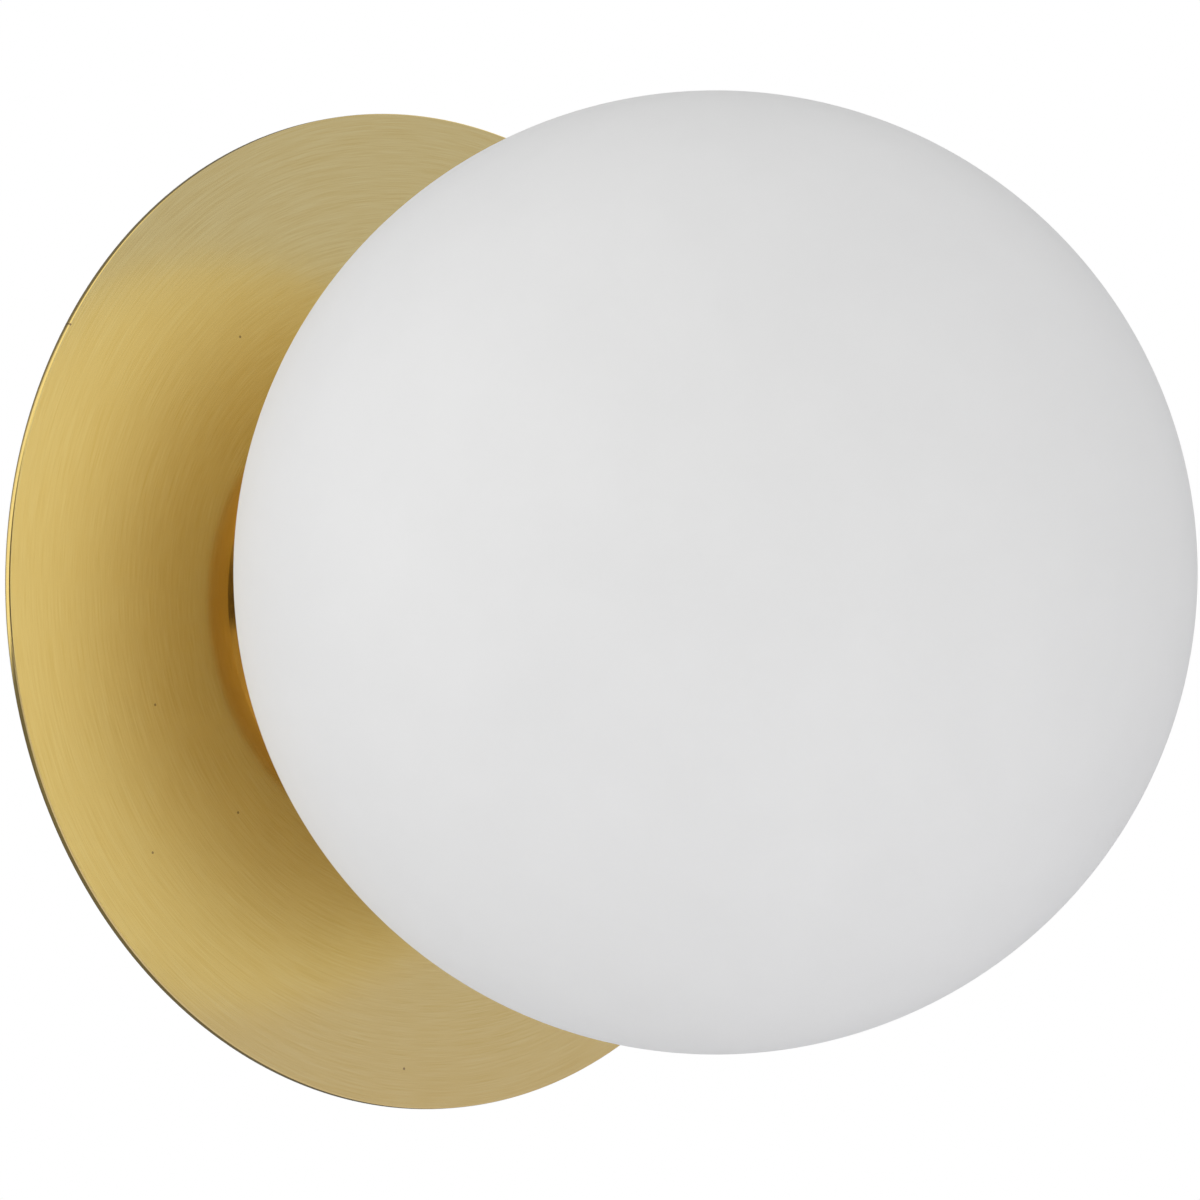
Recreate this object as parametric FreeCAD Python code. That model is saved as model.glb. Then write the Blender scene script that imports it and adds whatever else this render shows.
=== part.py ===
"""Wall sconce with an opal glass globe held in front of a round brass plate.

Millimetres. The wall is the plane y = 0 and the sconce stands out from it along -Y, with +Z up.
The origin is the middle of the crossbar's two wall screw slots, on the wall plane.
A depth is a distance from the wall, so a point at depth d has y = -d.
"""
import FreeCAD, Part
import math
import os

V = FreeCAD.Vector
FULL_TURN = 360
HEXAGON = 6
OUT = V(0, -1, 0)
ACROSS = V(1, 0, 0)
UP = V(0, 0, 1)

# ---- driving dimensions, millimetres ----

# Disc and the cup behind it
disc_radius = 80.0
disc_sheet = 1.2
disc_edge_break = 0.3
cup_radius = 60.0
cup_depth = 20.0
cup_sheet = 1.2
cup_corner = 3.0

# Globe and its gasket
globe_radius = 75.0
globe_wall = 3.0
neck_radius = 34.0
neck_wall = 3.0
shoulder_fillet = 1.5
lip_round = 1.0
gasket_height = 1.5
gasket_width = 2.2
gasket_edge = 0.4

# Collar
collar_height = 7.5
collar_wall = 3.2
collar_floor = 1.2
collar_rim_break = 0.5
collar_root_fillet = 0.8

# Crossbar
bar_width = 20.0
bar_sheet = 2.0
bar_bend = 2.0
tab_reach = 14.0
tab_width = 14.0
slot_spacing = 88.9
slot_length = 13.0
slot_half_width = 2.4
cable_hole_radius = 6.5
ground_offset = 22.0

# Nipple, nuts and washers in the middle
nipple_radius = 5.0
nipple_bore = 3.5
nipple_end = 2.0
nut_flats = 14.0
nut_height = 3.0
washer_height = 0.8
washer_radius = 9.0
washer_teeth = 10

# Bridge that carries the lampholder
bridge_sheet = 1.2
bridge_width = 16.0
bridge_height = 18.0
bridge_half_span = 18.0
bridge_reach = 29.0
bridge_bend = 1.2
bridge_hole_offset = 24.0
lead_slot_half_length = 7.0
lead_slot_radius = 3.2

# Lampholder
holder_half_length = 16.0
holder_width = 15.0
holder_flange = 5.0
holder_height = 16.0
tower_half_length = 9.0
tower_round = 3.0
holder_hole_offset = 12.4
pin_spacing = 9.0
pocket_length = 4.4
pocket_width = 3.4
contact_sheet = 0.4
contact_width = 3.0
contact_tail = 2.0

# Lamp
pin_wire_radius = 0.4
pin_loop_width = 2.4
pin_length = 9.0
lamp_base_radius = 8.3
lamp_base_height = 13.0
lamp_foot_height = 4.0
lamp_foot_half_length = 7.0
lamp_foot_width = 8.0
lamp_cone_height = 2.2
lamp_cone_radius = 6.0
envelope_radius = 8.0
envelope_length = 38.0
envelope_wall = 0.8
core_width = 9.0
core_sheet = 1.6
core_length = 28.0

# Terminal block
pole_pitch = 7.0
pole_count = 3
pole_barrel_radius = 2.9
pole_flat_inset = 0.5
first_pole = 18.5
pole_height = 5.0
block_length = 16.0
block_height = 11.0
block_base = 2.0
block_ear = 5.5
turret_radius = 2.4
turret_offset = 4.0
sleeve_radius = 1.9
sleeve_bore = 1.3
sleeve_length = 12.0

# Leads
lead_radius = 1.1
lead_gap = 0.4
lead_bend = 6.0
live_rise = 14.0
neutral_rise = 19.0
earth_rise = 26.0
lug_barrel_radius = 1.6
lug_barrel_length = 6.0
lug_ring_radius = 4.2
lug_sheet = 0.8
lead_splice_height = 3.0
lead_stop = 1.0

# Screws and nuts: radius of the thread, of the head, height of the head
m4_radius = 2.0
m4_head_radius = 3.8
m4_head_height = 2.4
m3_radius = 1.5
m3_head_radius = 2.75
m3_head_height = 1.8
m3_nut_flats = 5.5
m3_nut_height = 2.4
thread_end = 0.8
side_screw_depth = 9.0
side_screw_length = 7.0
holder_screw_length = 7.5
terminal_screw_radius = 1.25
terminal_screw_length = 4.0
slot_cut_width = 0.8
slot_cut_depth = 0.9
head_round_share = 1 / 3
nut_chamfer_share = 0.6
front_nut_turn = 10.0

# How far a cutting shape runs past what it cuts, the share of a run that one bend may take, and how
# little two directions may differ to count as one
overshoot = 1.0
bend_share = 0.48
near = 0.01

# Named clearances
neck_clearance = 0.3
gasket_fit = 0.1
seat_clearance = 0.13
lip_clearance = 0.8
nipple_clearance = 0.1
thread_clearance = 0.05
screw_clearance = 0.1
tab_clearance = 0.6
pin_clearance = 0.1
lamp_seat_clearance = 0.2
sleeve_clearance = 0.05
lead_clearance = 0.15

# ---- depths from the wall, worked out from the sizes above ----

cup_floor_back = cup_depth - cup_sheet
disc_front = cup_depth + disc_sheet
floor_front = disc_front + collar_floor
rim_depth = disc_front + collar_height
gasket_front = rim_depth + gasket_height
neck_slope = math.asin(neck_radius / globe_radius)
shoulder_run = shoulder_fillet / math.tan((math.pi / 2 + neck_slope) / 2)
shoulder_depth = gasket_front + seat_clearance + shoulder_run
globe_depth = shoulder_depth + globe_radius * math.cos(neck_slope)
lip_depth = floor_front + lip_clearance
foot_front = floor_front + bridge_sheet
bridge_front = floor_front + bridge_height
holder_front = bridge_front + holder_height
lamp_depth = holder_front + lamp_seat_clearance
envelope_depth = lamp_depth + lamp_base_height
front_washer_depth = floor_front
front_nut_depth = front_washer_depth + washer_height
nipple_front = front_nut_depth + nut_height + nipple_end
rear_washer_depth = cup_floor_back - washer_height
rear_nut_depth = rear_washer_depth - nut_height
nipple_back = rear_nut_depth - nipple_end
collar_bore = neck_radius + neck_clearance
collar_radius = collar_bore + collar_wall
tab_outer = math.sqrt((cup_radius - cup_sheet) ** 2 - (bar_width / 2) ** 2) - tab_clearance
pole_depth = bar_sheet + pole_height
last_pole = first_pole + pole_pitch * (pole_count - 1)
lead_offset = lead_radius + lead_gap / 2
lug_depth = bar_sheet + lug_barrel_radius
ear_middle = first_pole - pole_pitch / 2 - block_ear / 2


# ---- small helpers ----

def place(across, depth, up):
    """The point that lies across from the middle, at a depth from the wall and at a height."""
    return V(across, -depth, up)


def revolve(points):
    """A solid turned about the sconce's axis from (radius, depth) corners and (through, end) arcs."""
    edges = []
    start = points[0]
    for step in points[1:] + [start]:
        if len(step) == 4:
            through = place(step[0], step[1], 0)
            end = step[2:]
            edges.append(Part.Arc(place(*start, 0), through, place(*end, 0)).toShape())
        else:
            end = step
            edges.append(Part.makeLine(place(*start, 0), place(*end, 0)))
        start = end
    return Part.Face(Part.Wire(edges)).revolve(V(0, 0, 0), OUT, FULL_TURN)


def rod(radius, start, end):
    """A round bar between two points."""
    return Part.makeCylinder(radius, (end - start).Length, start, end - start)


def arc_mid(centre, radius, start_angle, end_angle):
    """The point half-way round an arc in (radius, depth) coordinates, angles from the depth axis."""
    angle = (start_angle + end_angle) / 2
    return (centre[0] + radius * math.sin(angle), centre[1] + radius * math.cos(angle))


def strip(route, sheet, width, bend):
    """A bent metal strip, `width` high: its wall-side face follows the (across, depth) corners."""
    wire = Part.makePolygon([place(x, d, -width / 2) for x, d in route])
    rounded = round_corners([v.Point for v in wire.OrderedVertexes], bend)
    side = (route[1][0] - route[0][0], route[1][1] - route[0][1])
    length = math.hypot(*side)
    normal = V(-side[1] / length, -side[0] / length, 0)
    start = place(*route[0], -width / 2)
    profile = Part.makePolygon([start, start + normal * sheet, start + normal * sheet + UP * width,
                                start + UP * width, start])
    return rounded.makePipeShell([profile], True, True)


def round_corners(points, radius):
    """A wire through the points, each corner eased by an arc of the radius or of what fits."""
    edges = []
    cursor = points[0]
    for before, corner, after in zip(points, points[1:], points[2:]):
        inward = (before - corner).normalize()
        outward = (after - corner).normalize()
        half_turn = inward.getAngle(outward) / 2
        room = min((before - corner).Length, (after - corner).Length) * bend_share
        back = min(radius / math.tan(half_turn), room)
        bisector = (inward + outward).normalize()
        eased = back * math.tan(half_turn)
        centre = corner + bisector * (eased / math.sin(half_turn))
        enter = corner + inward * back
        leave = corner + outward * back
        edges.append(Part.makeLine(cursor, enter))
        edges.append(Part.Arc(enter, centre - bisector * eased, leave).toShape())
        cursor = leave
    edges.append(Part.makeLine(cursor, points[-1]))
    return Part.Wire(edges)


def tube(points, radius, bend):
    """A lead of the radius along straight runs joined by tangent arcs."""
    path = round_corners(points, bend)
    ring = Part.Wire(Part.makeCircle(radius, points[0], points[1] - points[0]))
    return path.makePipeShell([ring], True, True)


def stadium(half_length, radius, depth, height):
    """An oblong block across the sconce's axis, with round ends, from a depth forwards."""
    reach = half_length - radius
    left = place(-reach, depth, 0)
    right = place(reach, depth, 0)
    box = Part.makeBox(2 * reach, height, 2 * radius, place(-reach, depth + height, -radius))
    block = box.fuse([rod(radius, left, left + OUT * height), rod(radius, right, right + OUT * height)])
    return block.removeSplitter()


def slotted_screw(seat, into, thread_radius, length, head_radius, head_height, slot_across):
    """A pan-head screw whose head rests on the seat and whose thread runs along `into`."""
    axis = V(into).normalize()
    head = rod(head_radius, seat, seat - axis * head_height)
    rims = [edge for edge in head.Edges if edge.Closed]
    crown = max(rims, key=lambda edge: (edge.CenterOfMass - seat).Length)
    head = head.makeFillet(head_height * head_round_share, [crown])
    cut = Part.makeBox(head_radius * 4, slot_cut_width, slot_cut_depth * 2,
                       V(-head_radius * 2, -slot_cut_width / 2, -slot_cut_depth))
    cut.Placement = FreeCAD.Placement(seat - axis * head_height,
                                      FreeCAD.Rotation(slot_across, V(0, 0, 0), -axis, "ZXY"))
    shank = rod(thread_radius, seat - axis * (head_height - slot_cut_depth * 2), seat + axis * length)
    return head.fuse(shank).cut(cut).removeSplitter()


def hex_nut(flats, height, bore, depth, across=0.0, turned=0.0):
    """A hexagon nut on an axis parallel to the sconce's, its back face at the depth."""
    corner = flats / math.sqrt(3)
    ring = []
    for index in range(HEXAGON + 1):
        angle = math.radians(FULL_TURN / HEXAGON * index + turned)
        ring.append(place(across + corner * math.cos(angle), depth, corner * math.sin(angle)))
    prism = Part.Face(Part.makePolygon(ring)).extrude(OUT * height)
    chamfer = (corner - flats / 2) * nut_chamfer_share
    back = place(across, depth, 0)
    envelope = rod(corner, back, back + OUT * height)
    envelope = envelope.makeChamfer(chamfer, [e for e in envelope.Edges if e.Closed])
    hole = rod(bore, back - OUT * overshoot, back + OUT * (height + overshoot))
    return prism.common(envelope).cut(hole)


# ---- plate, cup and collar ----

def make_disc_plate():
    """The flat brass disc, with a bare sheet edge and the holes that clamp it."""
    inner = nipple_radius + nipple_clearance
    edge = disc_edge_break
    plate = revolve([(inner, cup_depth), (disc_radius, cup_depth), (disc_radius, disc_front - edge),
                     (disc_radius - edge, disc_front), (inner, disc_front)])
    return plate.cut(bridge_screw_holes())


def make_canopy_cup():
    """The drawn cup behind the disc, open to the wall, with a rounded floor edge."""
    inner = nipple_radius + nipple_clearance
    wall = cup_radius - cup_sheet
    centre = (cup_radius - cup_corner, cup_depth - cup_corner)
    inner_corner = cup_corner - cup_sheet
    outer_mid = arc_mid(centre, cup_corner, 0, math.pi / 2)
    inner_mid = arc_mid(centre, inner_corner, 0, math.pi / 2)
    cup = revolve([(inner, cup_depth), (inner, cup_floor_back), (centre[0], cup_floor_back),
                   (*inner_mid, wall, centre[1]), (wall, 0), (cup_radius, 0), (cup_radius, centre[1]),
                   (*outer_mid, centre[0], cup_depth)])
    radius = m4_radius + screw_clearance
    reach = cup_radius + overshoot
    side_hole = rod(radius, place(-reach, side_screw_depth, 0), place(reach, side_screw_depth, 0))
    return cup.cut(bridge_screw_holes()).cut(side_hole)


def make_glass_collar():
    """The turned brass cup that takes the globe's neck."""
    inner = nipple_radius + nipple_clearance
    edge = collar_rim_break
    root = collar_root_fillet
    root_centre = (collar_bore - root, floor_front + root)
    root_mid = arc_mid(root_centre, root, math.pi / 2, math.pi)
    collar = revolve([(inner, disc_front), (collar_radius, disc_front), (collar_radius, rim_depth - edge),
                      (collar_radius - edge, rim_depth), (collar_bore, rim_depth),
                      (collar_bore, floor_front + root), (*root_mid, collar_bore - root, floor_front),
                      (inner, floor_front)])
    return collar.cut(bridge_screw_holes())


def bridge_screw_holes():
    """The two clearance holes that run from the bridge's feet through collar, disc and cup."""
    radius = m3_radius + screw_clearance
    holes = [rod(radius, place(x, cup_floor_back - overshoot, 0), place(x, foot_front + overshoot, 0))
             for x in (-bridge_hole_offset, bridge_hole_offset)]
    return Part.makeCompound(holes)


# ---- globe ----

def make_glass_globe():
    """The blown globe: a round shell, a shoulder fillet, and a straight neck with a rounded lip."""
    centre = (0, globe_depth)
    inner_radius = globe_radius - globe_wall
    mouth = neck_radius - neck_wall
    slope_in = math.asin(mouth / inner_radius)
    throat = globe_depth - inner_radius * math.cos(slope_in)
    pull = globe_radius + shoulder_fillet
    fillet_across = neck_radius + shoulder_fillet
    fillet_angle = math.asin(fillet_across / pull)
    fillet_centre = (fillet_across, globe_depth - pull * math.cos(fillet_angle))
    meet = (globe_radius * math.sin(fillet_angle), globe_depth - globe_radius * math.cos(fillet_angle))
    fillet_mid = arc_mid(fillet_centre, shoulder_fillet, -fillet_angle, -math.pi / 2)
    outer_mid = arc_mid(centre, globe_radius, 0, math.pi - fillet_angle)
    inner_mid = arc_mid(centre, inner_radius, 0, math.pi - slope_in)
    lip_mid = arc_mid((neck_radius - lip_round, lip_depth + lip_round), lip_round, math.pi / 2, math.pi)
    return revolve([(0, globe_depth + globe_radius), (*outer_mid, *meet),
                    (*fillet_mid, neck_radius, fillet_centre[1]), (neck_radius, lip_depth + lip_round),
                    (*lip_mid, neck_radius - lip_round, lip_depth), (mouth, lip_depth), (mouth, throat),
                    (*inner_mid, 0, globe_depth + inner_radius)])


def make_globe_gasket():
    """The silicone ring that lies on the collar's rim, round the neck."""
    inner = neck_radius + gasket_fit
    outer = inner + gasket_width
    edge = gasket_edge
    return revolve([(inner, rim_depth), (outer, rim_depth), (outer, gasket_front - edge),
                    (outer - edge, gasket_front), (inner, gasket_front)])


# ---- crossbar and its screws ----

def make_mounting_crossbar():
    """The slotted bar with a tapped tab bent forward at each end."""
    route = [(-tab_outer, tab_reach), (-tab_outer, 0), (tab_outer, 0), (tab_outer, tab_reach)]
    fold = bar_bend + bar_sheet
    bar = strip(route, bar_sheet, bar_width, fold)
    for side in (-1, 1):
        for low in (-bar_width, tab_width / 2):
            bar = bar.cut(Part.makeBox(2 * fold, tab_reach, bar_width - tab_width / 2,
                                       V(side * tab_outer - fold, -tab_reach - fold, low)))
    slot = stadium(slot_length / 2, slot_half_width, -overshoot, bar_sheet + 2 * overshoot)
    for side in (-1, 1):
        bar = bar.cut(slot.translated(V(side * slot_spacing / 2, 0, 0)))
    m4_tapped = m4_radius + thread_clearance
    m3_tapped = m3_radius + thread_clearance
    across = cup_radius
    bar = bar.cut(rod(m4_tapped, place(-across, side_screw_depth, 0), place(across, side_screw_depth, 0)))
    for radius, x in ((cable_hole_radius, 0), (m4_tapped, -ground_offset), (m3_tapped, ear_middle)):
        bar = bar.cut(rod(radius, place(x, -overshoot, 0), place(x, bar_sheet + overshoot, 0)))
    return bar


def make_canopy_side_screws():
    """The two screws that hold the cup on the crossbar's tabs."""
    screws = []
    for side in (-1, 1):
        seat = place(side * (cup_radius + thread_clearance), side_screw_depth, 0)
        screws.append(slotted_screw(seat, ACROSS * -side, m4_radius, side_screw_length,
                                    m4_head_radius, m4_head_height, UP))
    return Part.makeCompound(screws)


def make_ground_screw():
    """The earth screw, through the lug's ring into the crossbar."""
    seat = place(-ground_offset, bar_sheet + lug_sheet, 0)
    return slotted_screw(seat, OUT * -1, m4_radius, bar_sheet + lug_sheet, m4_head_radius,
                         m4_head_height, ACROSS)


def make_earth_lug():
    """The crimped ring terminal under the earth screw."""
    base = place(-ground_offset, bar_sheet, 0)
    ring = rod(lug_ring_radius, base, base + OUT * lug_sheet)
    barrel_start = base + OUT * lug_barrel_radius + UP * (m4_head_radius + lead_clearance)
    barrel = rod(lug_barrel_radius, barrel_start, barrel_start + UP * lug_barrel_length)
    tongue = Part.makeBox(2 * lug_barrel_radius, lug_sheet, m4_head_radius + lug_barrel_length / 2,
                          base + OUT * lug_sheet - ACROSS * lug_barrel_radius)
    bore = rod(lead_radius + lead_clearance, barrel_start - UP * overshoot,
               barrel_start + UP * (lug_barrel_length + overshoot))
    hole = rod(m4_radius + screw_clearance, base - OUT * overshoot, base + OUT * (lug_sheet + overshoot))
    return ring.fuse([tongue, barrel]).cut(bore).cut(hole).removeSplitter()


# ---- middle clamp ----

def make_threaded_nipple():
    """The hollow threaded tube that clamps cup, disc and collar."""
    tube_body = rod(nipple_radius, place(0, nipple_back, 0), place(0, nipple_front, 0))
    ends = [edge for edge in tube_body.Edges if edge.Closed]
    tube_body = tube_body.makeChamfer(thread_end / 2, ends)
    return tube_body.cut(rod(nipple_bore, place(0, nipple_back - overshoot, 0),
                             place(0, nipple_front + overshoot, 0)))


def make_lock_washer(depth):
    """A washer with inner teeth, its back face at the depth."""
    bore = nipple_radius + nipple_clearance
    back = place(0, depth, 0)
    ring = rod(washer_radius, back, back + OUT * washer_height)
    root = (bore + washer_radius) / 2
    front = washer_height + overshoot
    ring = ring.cut(rod(bore, back - OUT * overshoot, back + OUT * front))
    gap_width = math.pi * bore / washer_teeth
    gap = Part.makeBox(root, front + overshoot, gap_width, place(0, depth + front, -gap_width / 2))
    gaps = []
    for index in range(washer_teeth):
        turned = gap.copy()
        turned.rotate(V(0, 0, 0), OUT, index * FULL_TURN / washer_teeth)
        gaps.append(turned)
    return ring.cut(Part.makeCompound(gaps))


# ---- bridge and lampholder ----

def make_lamp_bridge():
    """The bent bracket: two feet on the collar's floor, two legs, and a plate for the lampholder."""
    top = bridge_front - bridge_sheet
    route = [(-bridge_reach, floor_front), (-bridge_half_span, floor_front), (-bridge_half_span, top),
             (bridge_half_span, top), (bridge_half_span, floor_front), (bridge_reach, floor_front)]
    bridge = strip(route, bridge_sheet, bridge_width, bridge_bend + bridge_sheet)
    screw_radius = m3_radius + screw_clearance
    through = bridge_sheet + 2 * overshoot
    for side in (-1, 1):
        foot = place(side * bridge_hole_offset, floor_front - overshoot, 0)
        bridge = bridge.cut(rod(screw_radius, foot, foot + OUT * through))
        tapped = place(side * holder_hole_offset, top - overshoot, 0)
        bridge = bridge.cut(rod(m3_radius + thread_clearance, tapped, tapped + OUT * through))
    return bridge.cut(stadium(lead_slot_half_length, lead_slot_radius, top - overshoot, through))


def make_bridge_screws():
    """The two screws through the bridge's feet, collar, disc and cup."""
    length = foot_front - (cup_floor_back - m3_nut_height - thread_end)
    return Part.makeCompound([
        slotted_screw(place(side * bridge_hole_offset, foot_front, 0), OUT * -1, m3_radius, length,
                      m3_head_radius, m3_head_height, UP) for side in (-1, 1)])


def make_bridge_nuts():
    """The two nuts of the bridge screws, behind the cup's floor."""
    depth = cup_floor_back - m3_nut_height
    return Part.makeCompound([
        hex_nut(m3_nut_flats, m3_nut_height, m3_radius + thread_clearance, depth, side * bridge_hole_offset)
        for side in (-1, 1)])


def make_socket_body():
    """The ceramic lampholder: an oblong flange and a tower with two pockets for the contacts."""
    flange = stadium(holder_half_length, holder_width / 2, bridge_front, holder_flange)
    tower = Part.makeBox(2 * tower_half_length, holder_height, holder_width,
                         place(-tower_half_length, holder_front, -holder_width / 2))
    upright = [edge for edge in tower.Edges if edge.tangentAt(edge.FirstParameter).cross(OUT).Length < near]
    tower = tower.makeFillet(tower_round, upright)
    body = flange.fuse(tower).removeSplitter()
    pocket = Part.makeBox(pocket_length, holder_height + 2 * overshoot, pocket_width,
                          place(-pocket_length / 2, holder_front + overshoot, -pocket_width / 2))
    for side in (-1, 1):
        body = body.cut(pocket.translated(V(side * pin_spacing / 2, 0, 0)))
        hole = place(side * holder_hole_offset, bridge_front - overshoot, 0)
        body = body.cut(rod(m3_radius + screw_clearance, hole, hole + OUT * (holder_flange + 2 * overshoot)))
        relief = place(side * holder_hole_offset, bridge_front + holder_flange, 0)
        body = body.cut(rod(m3_head_radius + screw_clearance, relief, relief + OUT * holder_height))
    return body


def make_socket_contacts():
    """The two spring clips: each is folded about the lamp pin and has a tail towards its lead."""
    gap = pin_wire_radius + pin_clearance
    back = bridge_front + contact_tail
    front = holder_front - contact_sheet
    height = front - back
    clips = []
    for side in (-1, 1):
        middle = side * pin_spacing / 2
        outer = Part.makeBox(contact_width, height, 2 * (gap + contact_sheet),
                             place(middle - contact_width / 2, front, -gap - contact_sheet))
        inner = Part.makeBox(contact_width + 2 * overshoot, height, 2 * gap,
                             place(middle - contact_width / 2 - overshoot, front + contact_sheet, -gap))
        tail = rod(lead_radius, place(middle, back - contact_tail, 0), place(middle, back + contact_sheet, 0))
        clips.append(outer.cut(inner).fuse(tail).removeSplitter())
    return Part.makeCompound(clips)


def make_socket_screws():
    """The two screws that fix the lampholder on the bridge."""
    return Part.makeCompound([
        slotted_screw(place(side * holder_hole_offset, bridge_front + holder_flange, 0), OUT * -1, m3_radius,
                      holder_screw_length, m3_head_radius, m3_head_height, UP) for side in (-1, 1)])


# ---- lamp ----

def make_lamp_pins():
    """The lamp's two wire loops."""
    half = pin_loop_width / 2
    pins = []
    for side in (-1, 1):
        middle = side * pin_spacing / 2
        bottom = lamp_depth - pin_length + pin_wire_radius + half
        path = Part.Wire([
            Part.makeLine(place(middle - half, lamp_depth, 0), place(middle - half, bottom, 0)),
            Part.Arc(place(middle - half, bottom, 0), place(middle, bottom - half, 0),
                     place(middle + half, bottom, 0)).toShape(),
            Part.makeLine(place(middle + half, bottom, 0), place(middle + half, lamp_depth, 0))])
        ring = Part.Wire(Part.makeCircle(pin_wire_radius, place(middle - half, lamp_depth, 0), OUT))
        pins.append(path.makePipeShell([ring], True, True))
    return Part.makeCompound(pins)


def make_lamp_base():
    """The lamp's base: an oblong foot that widens into a round body."""
    foot = stadium(lamp_foot_half_length, lamp_foot_width / 2, lamp_depth, lamp_foot_height)
    cone_start = lamp_depth + lamp_foot_height
    cone = Part.makeCone(lamp_cone_radius, lamp_base_radius, lamp_cone_height, place(0, cone_start, 0), OUT)
    body = rod(lamp_base_radius, place(0, cone_start + lamp_cone_height, 0), place(0, envelope_depth, 0))
    return foot.fuse([cone, body]).removeSplitter()


def make_lamp_envelope():
    """The lamp's frosted cover: a tube closed by a round dome."""
    outer = envelope_radius
    inner = envelope_radius - envelope_wall
    dome = envelope_depth + envelope_length - outer
    outer_mid = arc_mid((0, dome), outer, 0, math.pi / 2)
    inner_mid = arc_mid((0, dome), inner, 0, math.pi / 2)
    return revolve([(inner, envelope_depth), (outer, envelope_depth), (outer, dome),
                    (*outer_mid, 0, dome + outer), (0, dome + inner), (*inner_mid, inner, dome)])


def make_led_core():
    """The flat carrier of the light sources, upright in the lamp's cover."""
    return Part.makeBox(core_width, core_length, core_sheet,
                        place(-core_width / 2, envelope_depth + core_length, -core_sheet / 2))


# ---- terminals and leads ----

def pole_positions():
    """How far across each pole of the terminal block lies: live, neutral and earth."""
    return [first_pole + pole_pitch * index for index in range(pole_count)]


def make_terminal_block():
    """The block: a base with an ear, a barrel for each pole and two screw turrets on each barrel."""
    left = first_pole - pole_pitch / 2
    half = block_length / 2
    base = Part.makeBox(pole_pitch * pole_count, block_base, block_length,
                        place(left, bar_sheet + block_base, -half))
    parts = [stadium(block_ear, block_ear / 2, bar_sheet, block_base).translated(V(left, 0, 0))]
    holes = [rod(m3_radius + screw_clearance, place(ear_middle, bar_sheet - overshoot, 0),
                 place(ear_middle, bar_sheet + block_base + overshoot, 0))]
    for x in pole_positions():
        parts.append(rod(pole_barrel_radius, place(x, pole_depth, -half), place(x, pole_depth, half)))
        parts.append(Part.makeBox(2 * (pole_barrel_radius - pole_flat_inset), pole_height, block_length,
                                  place(x - pole_barrel_radius + pole_flat_inset, pole_depth, -half)))
        sleeve = sleeve_radius + sleeve_clearance
        holes.append(rod(sleeve, place(x, pole_depth, -half - overshoot),
                         place(x, pole_depth, half + overshoot)))
        for up in (-turret_offset, turret_offset):
            top = place(x, bar_sheet + block_height, up)
            parts.append(rod(turret_radius, place(x, pole_depth, up), top))
            holes.append(rod(terminal_screw_radius + thread_clearance, place(x, pole_depth, up),
                             top + OUT * overshoot))
    return base.fuse(parts).cut(Part.makeCompound(holes)).removeSplitter()


def make_terminal_sleeves():
    """The brass tube of each pole, with two tapped holes."""
    sleeves = []
    half = sleeve_length / 2
    for x in pole_positions():
        sleeve = rod(sleeve_radius, place(x, pole_depth, -half), place(x, pole_depth, half))
        sleeve = sleeve.cut(rod(sleeve_bore, place(x, pole_depth, -half - overshoot),
                                place(x, pole_depth, half + overshoot)))
        for up in (-turret_offset, turret_offset):
            sleeve = sleeve.cut(rod(terminal_screw_radius + thread_clearance, place(x, pole_depth, up),
                                    place(x, pole_depth + sleeve_radius * 2, up)))
        sleeves.append(sleeve)
    return Part.makeCompound(sleeves)


def make_terminal_screws():
    """The six clamping screws of the block."""
    screws = []
    seat_depth = pole_depth + sleeve_bore + terminal_screw_length
    for x in pole_positions():
        for up in (-turret_offset, turret_offset):
            top = place(x, seat_depth, up)
            screw = rod(terminal_screw_radius, top, place(x, pole_depth + sleeve_bore, up))
            cut = Part.makeBox(slot_cut_width, slot_cut_depth, 4 * terminal_screw_radius,
                               place(x - slot_cut_width / 2, seat_depth, up - 2 * terminal_screw_radius))
            screws.append(screw.cut(cut))
    return Part.makeCompound(screws)


def make_terminal_fixing_screw():
    """The screw that fixes the block's ear on the crossbar."""
    seat = place(ear_middle, bar_sheet + block_base, 0)
    return slotted_screw(seat, OUT * -1, m3_radius, bar_sheet + block_base, m3_head_radius,
                         m3_head_height, UP)


def lead_to_holder(pole, rise, side):
    """A lead from a pole, up and over to the nipple, through it, and on to a lampholder contact."""
    x = side * lead_offset
    contact = side * pin_spacing / 2
    points = [place(pole, pole_depth, lead_stop), place(pole, pole_depth, rise),
              place(x, pole_depth, rise), place(x, pole_depth, 0), place(x, nipple_front, 0),
              place(contact, (nipple_front + bridge_front) / 2 + lead_splice_height / 2, 0),
              place(contact, bridge_front, 0)]
    return tube(points, lead_radius, lead_bend)


def make_live_lead():
    """The live lead."""
    return lead_to_holder(first_pole, live_rise, 1)


def make_neutral_lead():
    """The neutral lead."""
    return lead_to_holder(first_pole + pole_pitch, neutral_rise, -1)


def make_earth_lead():
    """The earth lead, from its pole to the lug on the crossbar."""
    lug_mouth = m4_head_radius + lead_clearance + lug_barrel_length / 2
    points = [place(last_pole, pole_depth, lead_stop), place(last_pole, pole_depth, earth_rise),
              place(-ground_offset, pole_depth, earth_rise),
              place(-ground_offset, lug_depth, lug_mouth + lug_barrel_length),
              place(-ground_offset, lug_depth, lug_mouth)]
    return tube(points, lead_radius, lead_bend)


# ---- build ----

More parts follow.
